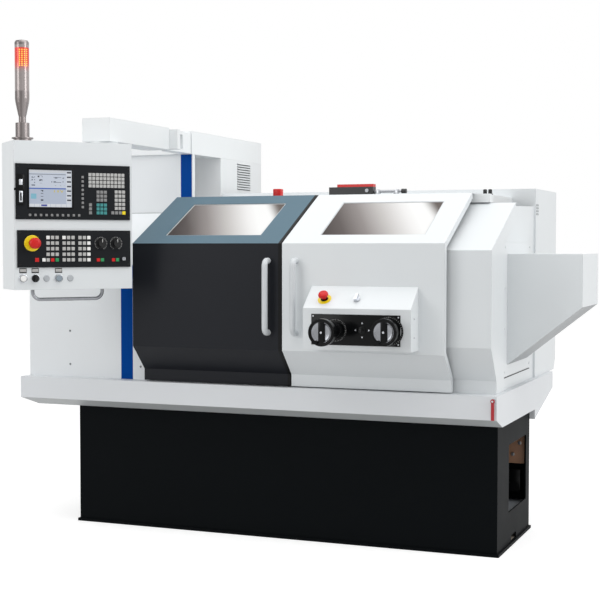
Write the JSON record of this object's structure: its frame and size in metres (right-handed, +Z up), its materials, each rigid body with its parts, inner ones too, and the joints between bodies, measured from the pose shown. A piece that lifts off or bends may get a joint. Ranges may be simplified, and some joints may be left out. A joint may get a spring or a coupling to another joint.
{
  "type": "cnc lathe",
  "caption": "Flat-bed turning lathe with sliding splash doors, a swing-arm control box with a signal tower, handwheels, chuck, tool turret and tailstock on a black stand.",
  "frame": {"origin": "on the floor, at the middle of the stand's anchor holes", "axes": "+X along the spindle towards the tailstock, +Y from the operator to the back, +Z up"},
  "size_m": [2.429, 1.9778, 2.046],
  "materials": {
    "paint_grey": "satin",
    "paint_dark": "satin",
    "paint_black": "satin",
    "tank_grey": "satin",
    "motor_dark": "matte",
    "iron": "painted casting",
    "steel": "machined",
    "bright": "polished",
    "alu": "satin",
    "black_plastic": "fine grain",
    "belt": "matte",
    "red": "gloss",
    "white": "gloss",
    "blue_grey": "gloss",
    "pane": "tinted",
    "lens": "clear tube over lamps"
  },
  "bodies": {
    "frame": {"base_stand": "paint_black", "coolant_unit": "tank_grey", "chip_tray": "paint_grey", "bed": "iron", "headstock": "iron", "main_motor": "motor_dark", "drive_belt": "belt", "feed_motor": "motor_dark", "headstock_cabinet": "paint_grey", "upper_panel": "paint_grey", "electrical_cabinet": "paint_grey", "cabinet_roof": "paint_grey", "rear_housing": "paint_grey", "roof_rail": "paint_grey", "right_guard": "paint_grey", "end_wall": "paint_grey", "end_hood": "paint_grey", "interlock": "black_plastic", "drain_valve": "steel", "arm_bracket": "paint_grey"},
    "spindle_body": {"spindle": "steel", "spindle_pulley": "steel", "chuck": "steel"},
    "jaw_1": {"chuck_jaw_1": "steel"},
    "jaw_2": {"chuck_jaw_2": "steel"},
    "jaw_3": {"chuck_jaw_3": "steel"},
    "motor_rotor": {"motor_pulley": "steel"},
    "saddle": {"carriage": "iron"},
    "top_slide": {"cross_slide": "iron"},
    "turret": {"tool_disc": "steel"},
    "screw": {"lead_screw": "steel"},
    "tail": {"tailstock": "iron"},
    "tail_quill": {"quill": "steel"},
    "tail_wheel": {"tailstock_wheel": "bright"},
    "left_leaf": {"left_door": "paint_dark", "left_window": "pane", "left_handle": "alu"},
    "right_leaf": {"right_door": "paint_grey", "right_window": "pane", "right_handle": "alu", "handwheel_box": "paint_grey"},
    "long_wheel": {"long_handwheel": "black_plastic"},
    "short_wheel": {"short_handwheel": "black_plastic"},
    "door_stop": {"door_stop_button": "red"},
    "mode_knob": {"mode_switch": "bright"},
    "valve_handle": {"valve_lever": "red"},
    "arm": {"pendant_arm": "paint_grey"},
    "control": {"control_box": "paint_grey", "operator_panel": "black_plastic", "machine_panel": "black_plastic", "grab_handle": "bright", "signal_tower": "alu", "tower_lens": "lens"},
    "panel_stop": {"panel_stop_button": "red"},
    "feed_dial": {"feed_knob": "black_plastic"},
    "spindle_dial": {"spindle_knob": "black_plastic"},
    "white_push": {"white_button": "white"},
    "selector": {"selector_switch": "black_plastic"},
    "grey_push": {"grey_button": "blue_grey"},
    "key": {"key_switch": "steel"}
  },
  "joints": [
    {"name": "spindle_spin", "type": "hinge", "parent": "frame", "child": "spindle_body", "pos_m": [-0.8, -0.04, 1.05], "axis": [1, 0, 0], "continuous": true},
    {"name": "jaw_1_slide", "type": "slide", "parent": "spindle_body", "child": "jaw_1", "axis": [0, 0, 1], "range_m": [-0.006, 0.006]},
    {"name": "jaw_2_slide", "type": "slide", "parent": "spindle_body", "child": "jaw_2", "axis": [0, -0.866, -0.5], "range_m": [-0.006, 0.006]},
    {"name": "jaw_3_slide", "type": "slide", "parent": "spindle_body", "child": "jaw_3", "axis": [0, 0.866, -0.5], "range_m": [-0.006, 0.006]},
    {"name": "motor_spin", "type": "hinge", "parent": "frame", "child": "motor_rotor", "pos_m": [-0.9, 0.3, 0.78], "axis": [1, 0, 0], "continuous": true},
    {"name": "carriage_travel", "type": "slide", "parent": "frame", "child": "saddle", "axis": [1, 0, 0], "range_m": [-0.15, 0.12]},
    {"name": "cross_travel", "type": "slide", "parent": "saddle", "child": "top_slide", "axis": [0, 1, 0], "range_m": [-0.13, 0]},
    {"name": "turret_index", "type": "hinge", "parent": "top_slide", "child": "turret", "pos_m": [0.05, 0.205, 1.05], "axis": [1, 0, 0], "continuous": true},
    {"name": "screw_spin", "type": "hinge", "parent": "frame", "child": "screw", "pos_m": [0.1, -0.245, 0.72], "axis": [1, 0, 0], "range_deg": [-5400, 4320]},
    {"name": "tailstock_travel", "type": "slide", "parent": "frame", "child": "tail", "axis": [1, 0, 0], "range_m": [-0.06, 0.06]},
    {"name": "tail_wheel_spin", "type": "hinge", "parent": "tail", "child": "tail_wheel", "pos_m": [0.81, -0.04, 1.05], "axis": [1, 0, 0], "range_deg": [-4320, 0]},
    {"name": "quill_travel", "type": "slide", "parent": "tail", "child": "tail_quill", "axis": [1, 0, 0], "range_m": [-0.06, 0]},
    {"name": "left_door_travel", "type": "slide", "parent": "frame", "child": "left_leaf", "axis": [1, 0, 0], "range_m": [-0.5, 0]},
    {"name": "right_door_travel", "type": "slide", "parent": "frame", "child": "right_leaf", "axis": [1, 0, 0], "range_m": [0, 0.17]},
    {"name": "long_wheel_spin", "type": "hinge", "parent": "right_leaf", "child": "long_wheel", "pos_m": [0.377, -0.6, 0.903], "axis": [0, 1, 0], "continuous": true},
    {"name": "short_wheel_spin", "type": "hinge", "parent": "right_leaf", "child": "short_wheel", "pos_m": [0.594, -0.6, 0.903], "axis": [0, 1, 0], "continuous": true},
    {"name": "door_stop_press", "type": "slide", "parent": "right_leaf", "child": "door_stop", "axis": [0, 0.6432, -0.7657], "range_m": [0, 0.006], "stiffness_N_per_m": 900},
    {"name": "mode_turn", "type": "hinge", "parent": "right_leaf", "child": "mode_knob", "pos_m": [0.45, -0.54518, 1.02045], "axis": [0, -0.6432, 0.7657], "range_deg": [-45, 45]},
    {"name": "valve_turn", "type": "hinge", "parent": "frame", "child": "valve_handle", "pos_m": [0.961, -0.43, 0.634], "axis": [0, 1, 0], "range_deg": [0, 90]},
    {"name": "arm_swing", "type": "hinge", "parent": "frame", "child": "arm", "pos_m": [-0.664, 0.015, 1.71], "axis": [0, 0, 1], "range_deg": [-10, 0]},
    {"name": "control_swivel", "type": "hinge", "parent": "arm", "child": "control", "pos_m": [-0.664, -0.56, 1.646], "axis": [0, 0, 1], "range_deg": [-40, 3]},
    {"name": "panel_stop_press", "type": "slide", "parent": "control", "child": "panel_stop", "axis": [-0.749, 0.6626, 0], "range_m": [0, 0.006], "stiffness_N_per_m": 900},
    {"name": "feed_turn", "type": "hinge", "parent": "control", "child": "feed_dial", "pos_m": [-0.59939, -0.70128, 1.24], "axis": [0.749, -0.6626, 0], "range_deg": [-150, 150]},
    {"name": "spindle_turn", "type": "hinge", "parent": "control", "child": "spindle_dial", "pos_m": [-0.55699, -0.65334, 1.24], "axis": [0.749, -0.6626, 0], "range_deg": [-150, 150]},
    {"name": "white_press", "type": "slide", "parent": "control", "child": "white_push", "axis": [-0.749, 0.6626, 0], "range_m": [0, 0.004], "stiffness_N_per_m": 600},
    {"name": "grey_press", "type": "slide", "parent": "control", "child": "grey_push", "axis": [-0.749, 0.6626, 0], "range_m": [0, 0.004], "stiffness_N_per_m": 600},
    {"name": "selector_turn", "type": "hinge", "parent": "control", "child": "selector", "pos_m": [-0.7783, -0.90349, 1.1], "axis": [0.749, -0.6626, 0], "range_deg": [-45, 45]},
    {"name": "key_turn", "type": "hinge", "parent": "control", "child": "key", "pos_m": [-0.53578, -0.62938, 1.177], "axis": [0.749, -0.6626, 0], "range_deg": [0, 90]}
  ],
  "couplings": [
    {"joint": "jaw_2_slide", "follows": "jaw_1_slide", "ratio": 1},
    {"joint": "jaw_3_slide", "follows": "jaw_1_slide", "ratio": 1},
    {"joint": "motor_spin", "follows": "spindle_spin", "ratio": 1.6364},
    {"joint": "screw_spin", "follows": "carriage_travel", "rad_per_m": 628.32},
    {"joint": "quill_travel", "follows": "tail_wheel_spin", "m_per_rad": 0.00079577}
  ]
}
